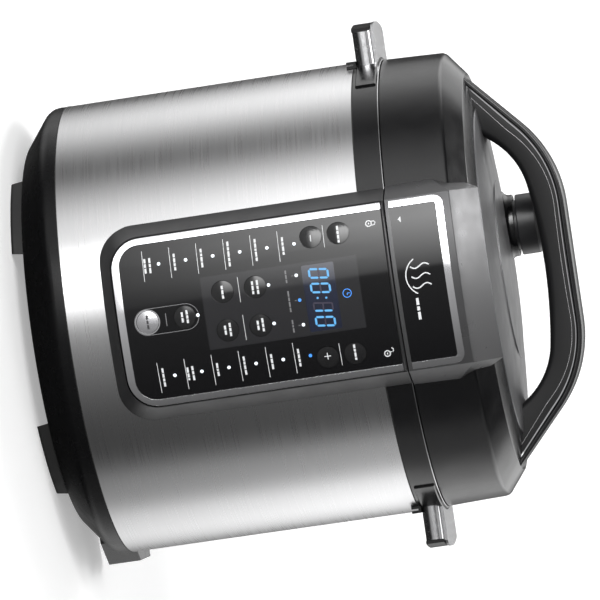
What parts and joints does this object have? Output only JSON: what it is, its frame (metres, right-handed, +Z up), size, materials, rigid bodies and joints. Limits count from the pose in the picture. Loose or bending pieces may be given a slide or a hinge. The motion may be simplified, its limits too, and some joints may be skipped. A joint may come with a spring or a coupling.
{
  "type": "electric pressure cooker",
  "caption": "Round electric pressure cooker with a steel body, curved front control panel, arched lid handle, steam release valve and short side handles.",
  "frame": {"origin": "on the vertical axis of the round body, in the plane that the feet stand on", "axes": "+Z up, the control panel faces -Y, +X to the right seen from the front"},
  "size_m": [0.332, 0.312, 0.334],
  "materials": {
    "body_black": "semi-gloss moulded",
    "matte_black": "fine textured",
    "frame_satin": "satin metallic paint",
    "dome_satin": "satin metallic paint",
    "knob_grey": "satin",
    "panel_gloss": "high gloss",
    "display_glass": "high gloss",
    "bright_trim": "bright plated",
    "handle_silver": "satin silver paint",
    "sleeve_steel": "brushed round the body",
    "pot_steel": "polished",
    "screw_steel": "bright",
    "liner_aluminium": "drawn",
    "cast_aluminium": "turned casting",
    "circuit_board": "solder mask",
    "ceramic": "glazed sleeve",
    "silicone": "translucent silicone",
    "foot_rubber": "matte",
    "clear_plastic": "clear moulded",
    "button_black": "gloss",
    "button_silver": "satin silver",
    "lamp_white": "frosted",
    "lamp_blue": "lit"
  },
  "bodies": {
    "base": {"base_shell": "body_black", "bottom_cover": "matte_black", "rubber_feet": "foot_rubber", "steel_sleeve": "sleeve_steel", "collar_ring": "body_black", "outer_pot": "liner_aluminium", "inner_pot": "pot_steel", "heating_plate": "cast_aluminium", "heater_posts": "pot_steel", "sensor_bracket": "pot_steel", "sensor_spring": "screw_steel", "thermal_fuse": "ceramic", "pressure_switch": "matte_black", "power_board": "circuit_board", "power_inlet": "body_black", "inlet_pins": "screw_steel", "base_screws": "screw_steel", "control_frame": "frame_satin", "control_trim": "bright_trim", "control_faceplate": "panel_gloss", "display_window": "display_glass", "display_digits": "lamp_blue", "leds_white": "lamp_white", "leds_blue": "lamp_blue", "control_board": "circuit_board", "side_handle_cores": "body_black", "side_handle_caps": "handle_silver", "cup_bracket": "matte_black"},
    "sensor": {"temperature_sensor": "pot_steel"},
    "cup": {"condensate_cup": "clear_plastic"},
    "seal": {"sealing_ring": "silicone"},
    "lid": {"lid_cover": "body_black", "lid_dome": "dome_satin", "lid_front_block": "frame_satin", "lid_trim": "bright_trim", "lid_faceplate": "panel_gloss", "lid_pan": "pot_steel", "ring_rack": "screw_steel", "handle_core": "matte_black", "handle_cap": "dome_satin", "valve_collar": "body_black", "steam_pipe": "pot_steel", "block_shield": "pot_steel", "lid_screws": "screw_steel"},
    "float_valve": {"float_pin": "screw_steel", "float_gasket": "silicone"},
    "steam_valve": {"steam_knob": "knob_grey", "steam_weight": "pot_steel"},
    "key_cancel": {"button_cancel": "button_black"},
    "key_start": {"button_start": "button_black"},
    "key_minus": {"button_minus": "button_black"},
    "key_plus": {"button_plus": "button_black"},
    "key_manual": {"button_manual": "button_black"},
    "key_delay": {"button_delay": "button_black"},
    "key_level": {"button_level": "button_black"},
    "key_cook_time": {"button_cook_time": "button_black"},
    "key_keep_warm": {"button_keep_warm": "button_black"},
    "key_menu": {"button_menu": "button_silver"}
  },
  "joints": [
    {"name": "lid_lift", "type": "slide", "parent": "base", "child": "seal", "axis": [0, 0, 1], "range_m": [0, 0.2]},
    {"name": "lid_turn", "type": "hinge", "parent": "seal", "child": "lid", "pos_m": [0, 0, 0], "axis": [0, 0, 1], "range_deg": [0, 29]},
    {"name": "steam_valve_turn", "type": "hinge", "parent": "lid", "child": "steam_valve", "pos_m": [-0.027, 0.04, 0.3], "axis": [0, 0, 1], "range_deg": [0, 35]},
    {"name": "float_rise", "type": "slide", "parent": "lid", "child": "float_valve", "axis": [0, 0, 1], "range_m": [0, 0.003]},
    {"name": "cup_slide", "type": "slide", "parent": "base", "child": "cup", "axis": [0, 1, 0], "range_m": [0, 0.04]},
    {"name": "sensor_press", "type": "slide", "parent": "base", "child": "sensor", "axis": [0, 0, 1], "range_m": [-0.002, 0], "stiffness_N_per_m": 300, "springref_m": 0.002, "deforming": ["sensor_spring"]},
    {"name": "press_cancel", "type": "slide", "parent": "base", "child": "key_cancel", "axis": [0.2346, 0.9721, 0], "range_m": [0, 0.0008], "stiffness_N_per_m": 400},
    {"name": "press_start", "type": "slide", "parent": "base", "child": "key_start", "axis": [-0.2346, 0.9721, 0], "range_m": [0, 0.0008], "stiffness_N_per_m": 400},
    {"name": "press_minus", "type": "slide", "parent": "base", "child": "key_minus", "axis": [0.2346, 0.9721, 0], "range_m": [0, 0.0008], "stiffness_N_per_m": 400},
    {"name": "press_plus", "type": "slide", "parent": "base", "child": "key_plus", "axis": [-0.2346, 0.9721, 0], "range_m": [0, 0.0008], "stiffness_N_per_m": 400},
    {"name": "press_manual", "type": "slide", "parent": "base", "child": "key_manual", "axis": [0.075, 0.9972, 0], "range_m": [0, 0.0008], "stiffness_N_per_m": 400},
    {"name": "press_delay", "type": "slide", "parent": "base", "child": "key_delay", "axis": [-0.075, 0.9972, 0], "range_m": [0, 0.0008], "stiffness_N_per_m": 400},
    {"name": "press_level", "type": "slide", "parent": "base", "child": "key_level", "axis": [0.075, 0.9972, 0], "range_m": [0, 0.0008], "stiffness_N_per_m": 400},
    {"name": "press_cook_time", "type": "slide", "parent": "base", "child": "key_cook_time", "axis": [-0.075, 0.9972, 0], "range_m": [0, 0.0008], "stiffness_N_per_m": 400},
    {"name": "press_keep_warm", "type": "slide", "parent": "base", "child": "key_keep_warm", "axis": [0, 1, 0], "range_m": [0, 0.0008], "stiffness_N_per_m": 400},
    {"name": "press_menu", "type": "slide", "parent": "base", "child": "key_menu", "axis": [0, 1, 0], "range_m": [0, 0.0008], "stiffness_N_per_m": 400}
  ]
}
